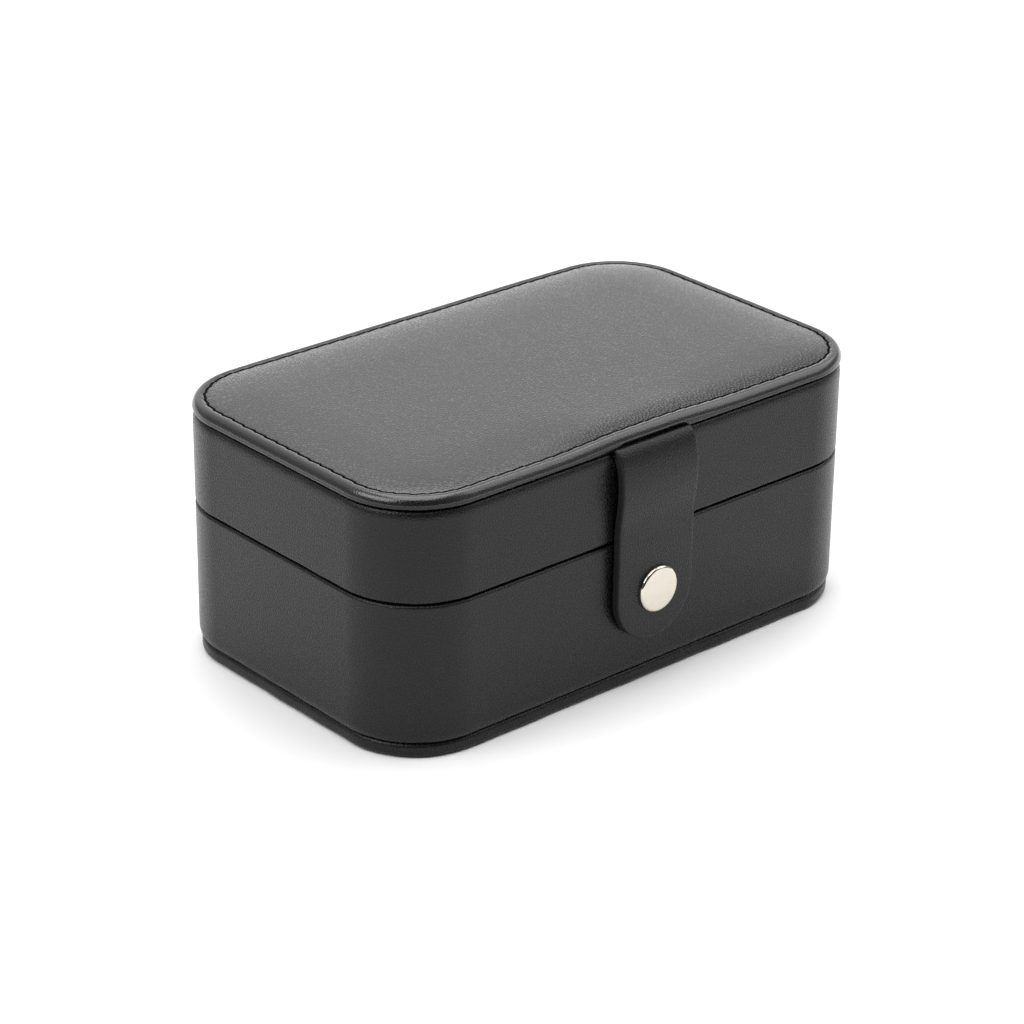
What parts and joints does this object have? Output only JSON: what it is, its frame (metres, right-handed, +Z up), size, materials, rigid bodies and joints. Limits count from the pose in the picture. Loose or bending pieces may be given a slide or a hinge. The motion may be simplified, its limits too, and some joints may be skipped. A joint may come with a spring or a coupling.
{
  "type": "jewelry box",
  "caption": "Leather-covered jewelry box with rounded corners, padded hinged lid with mirror, snap strap and a lift-out velvet tray with ring rolls.",
  "frame": {"origin": "centre of the flat face that the box stands on, under the middle of the base panel", "axes": "+X along the length, -Y out of the front with the strap, +Y out of the back with the hinge, +Z up"},
  "size_m": [0.16, 0.1026, 0.0714],
  "materials": {
    "black_leather": "charcoal-black coated leather with a fine pebble grain and a satin sheen",
    "greyboard": "dense grey board, uncoated",
    "grey_velvet": "short-pile velvet, warm grey",
    "foam": "soft open-cell foam",
    "rim_cord": "twisted cotton cord",
    "polished_nickel": "polished warm nickel plate",
    "spring_steel": "drawn spring wire",
    "mirror_glass": "silvered glass"
  },
  "bodies": {
    "base": {"base_bottom_cover": "black_leather", "base_board": "greyboard", "base_wall_cover": "black_leather", "base_wall_board": "greyboard", "base_lining_wall": "grey_velvet", "base_floor_pad": "grey_velvet", "base_tray_ledge": "grey_velvet", "base_divider_left": "grey_velvet", "base_divider_right": "grey_velvet", "snap_stud": "polished_nickel", "snap_eyelet": "polished_nickel", "hinge_strip": "black_leather", "hinge_lining": "grey_velvet"},
    "lid": {"lid_top_cover": "black_leather", "lid_rim_cord": "rim_cord", "lid_top_board": "greyboard", "lid_top_pad": "foam", "lid_wall_cover": "black_leather", "lid_wall_board": "greyboard", "lid_lining_wall": "grey_velvet", "lid_lining_panel": "grey_velvet", "mirror": "mirror_glass", "strap_tongue": "black_leather"},
    "strap": {"strap_face": "black_leather", "strap_stiffener": "greyboard", "strap_backing": "black_leather", "snap_cap": "polished_nickel", "snap_socket": "polished_nickel", "snap_spring": "spring_steel"},
    "tray": {"tray_floor": "grey_velvet", "tray_wall": "grey_velvet", "tray_cross_divider": "grey_velvet", "tray_long_divider": "grey_velvet", "ring_roll_1": "grey_velvet", "ring_roll_2": "grey_velvet", "ring_roll_3": "grey_velvet", "ring_roll_4": "grey_velvet", "ring_roll_5": "grey_velvet"}
  },
  "joints": [
    {"name": "lid_hinge", "type": "hinge", "parent": "base", "child": "lid", "pos_m": [0, 0.04955, 0.042], "axis": [-1, 0, 0], "range_deg": [0, 100], "deforming": ["hinge_strip", "hinge_lining"]},
    {"name": "strap_flip", "type": "hinge", "parent": "lid", "child": "strap", "pos_m": [0, -0.04875, 0.06605], "axis": [-1, 0, 0], "range_deg": [0, 90]},
    {"name": "tray_lift", "type": "slide", "parent": "base", "child": "tray", "axis": [0, 0, 1], "range_m": [0, 0.0204]}
  ]
}
